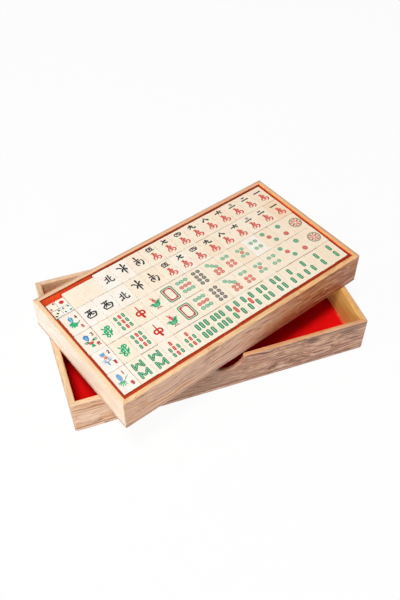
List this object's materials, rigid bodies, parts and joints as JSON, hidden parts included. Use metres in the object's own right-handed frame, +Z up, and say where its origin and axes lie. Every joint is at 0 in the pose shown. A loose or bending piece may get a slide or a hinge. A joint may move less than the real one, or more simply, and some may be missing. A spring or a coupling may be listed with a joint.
{
  "type": "mahjong case",
  "caption": "Shallow mitred wooden case with thumb notches and red felt floor, and a felt-lined tray packed with mahjong tiles and dice standing turned across its rim.",
  "frame": {"origin": "centre of the outer case's underside, where it rests", "axes": "+X along the outer case's length, +Y across it away from the front notch, +Z up"},
  "size_m": [0.3626, 0.2672, 0.091],
  "materials": {
    "case_wood": "oiled, open grain",
    "tray_wood": "oiled, open grain",
    "red_felt": "napped felt",
    "tile_bone": "polished bone, cream",
    "tile_bamboo": "polished bamboo",
    "dice_bone": "polished bone"
  },
  "bodies": {
    "case": {"case_front_board": "case_wood", "case_back_board": "case_wood", "case_left_board": "case_wood", "case_right_board": "case_wood", "case_base_board": "case_wood", "case_floor_felt": "red_felt"},
    "tray": {"tray_front_board": "tray_wood", "tray_back_board": "tray_wood", "tray_left_board": "tray_wood", "tray_right_board": "tray_wood", "tray_base_board": "tray_wood", "tray_floor_felt": "red_felt", "tray_front_felt": "red_felt", "tray_back_felt": "red_felt", "tray_left_felt": "red_felt", "tray_right_felt": "red_felt", "dice_riser": "tray_wood"},
    "upper_row_1": {"upper_row_1_bone": "tile_bone", "upper_row_1_bamboo": "tile_bamboo"},
    "lower_row_1": {"lower_row_1_bone": "tile_bone", "lower_row_1_bamboo": "tile_bamboo"},
    "upper_row_2": {"upper_row_2_bone": "tile_bone", "upper_row_2_bamboo": "tile_bamboo"},
    "lower_row_2": {"lower_row_2_bone": "tile_bone", "lower_row_2_bamboo": "tile_bamboo"},
    "upper_row_3": {"upper_row_3_bone": "tile_bone", "upper_row_3_bamboo": "tile_bamboo"},
    "lower_row_3": {"lower_row_3_bone": "tile_bone", "lower_row_3_bamboo": "tile_bamboo"},
    "upper_row_4": {"upper_row_4_bone": "tile_bone", "upper_row_4_bamboo": "tile_bamboo"},
    "lower_row_4": {"lower_row_4_bone": "tile_bone", "lower_row_4_bamboo": "tile_bamboo"},
    "upper_row_5": {"upper_row_5_bone": "tile_bone", "upper_row_5_bamboo": "tile_bamboo"},
    "lower_row_5": {"lower_row_5_bone": "tile_bone", "lower_row_5_bamboo": "tile_bamboo"},
    "upper_spares": {"upper_spare_bone": "tile_bone", "upper_spare_bamboo": "tile_bamboo"},
    "lower_spares": {"lower_spare_bone": "tile_bone", "lower_spare_bamboo": "tile_bamboo"},
    "die_1": {"die_1": "dice_bone"},
    "die_2": {"die_2": "dice_bone"},
    "die_3": {"die_3": "dice_bone"},
    "die_4": {"die_4": "dice_bone"}
  },
  "joints": [
    {"name": "tray_lift", "type": "slide", "parent": "case", "child": "tray", "axis": [0, 0, 1], "range_m": [0, 0.12]},
    {"name": "upper_row_1_lift", "type": "slide", "parent": "tray", "child": "upper_row_1", "axis": [0, 0, 1], "range_m": [0, 0.12]},
    {"name": "lower_row_1_lift", "type": "slide", "parent": "tray", "child": "lower_row_1", "axis": [0, 0, 1], "range_m": [0, 0.06]},
    {"name": "upper_row_2_lift", "type": "slide", "parent": "tray", "child": "upper_row_2", "axis": [0, 0, 1], "range_m": [0, 0.12]},
    {"name": "lower_row_2_lift", "type": "slide", "parent": "tray", "child": "lower_row_2", "axis": [0, 0, 1], "range_m": [0, 0.06]},
    {"name": "upper_row_3_lift", "type": "slide", "parent": "tray", "child": "upper_row_3", "axis": [0, 0, 1], "range_m": [0, 0.12]},
    {"name": "lower_row_3_lift", "type": "slide", "parent": "tray", "child": "lower_row_3", "axis": [0, 0, 1], "range_m": [0, 0.06]},
    {"name": "upper_row_4_lift", "type": "slide", "parent": "tray", "child": "upper_row_4", "axis": [0, 0, 1], "range_m": [0, 0.12]},
    {"name": "lower_row_4_lift", "type": "slide", "parent": "tray", "child": "lower_row_4", "axis": [0, 0, 1], "range_m": [0, 0.06]},
    {"name": "upper_row_5_lift", "type": "slide", "parent": "tray", "child": "upper_row_5", "axis": [0, 0, 1], "range_m": [0, 0.12]},
    {"name": "lower_row_5_lift", "type": "slide", "parent": "tray", "child": "lower_row_5", "axis": [0, 0, 1], "range_m": [0, 0.06]},
    {"name": "upper_spares_lift", "type": "slide", "parent": "tray", "child": "upper_spares", "axis": [0, 0, 1], "range_m": [0, 0.12]},
    {"name": "lower_spares_lift", "type": "slide", "parent": "tray", "child": "lower_spares", "axis": [0, 0, 1], "range_m": [0, 0.06]},
    {"name": "die_1_lift", "type": "slide", "parent": "tray", "child": "die_1", "axis": [0, 0, 1], "range_m": [0, 0.06]},
    {"name": "die_2_lift", "type": "slide", "parent": "tray", "child": "die_2", "axis": [0, 0, 1], "range_m": [0, 0.06]},
    {"name": "die_3_lift", "type": "slide", "parent": "tray", "child": "die_3", "axis": [0, 0, 1], "range_m": [0, 0.06]},
    {"name": "die_4_lift", "type": "slide", "parent": "tray", "child": "die_4", "axis": [0, 0, 1], "range_m": [0, 0.06]}
  ],
  "couplings": [
    {"joint": "lower_row_1_lift", "follows": "upper_row_1_lift", "ratio": 0.5},
    {"joint": "lower_row_2_lift", "follows": "upper_row_2_lift", "ratio": 0.5},
    {"joint": "lower_row_3_lift", "follows": "upper_row_3_lift", "ratio": 0.5},
    {"joint": "lower_row_4_lift", "follows": "upper_row_4_lift", "ratio": 0.5},
    {"joint": "lower_row_5_lift", "follows": "upper_row_5_lift", "ratio": 0.5},
    {"joint": "lower_spares_lift", "follows": "upper_spares_lift", "ratio": 0.5}
  ]
}
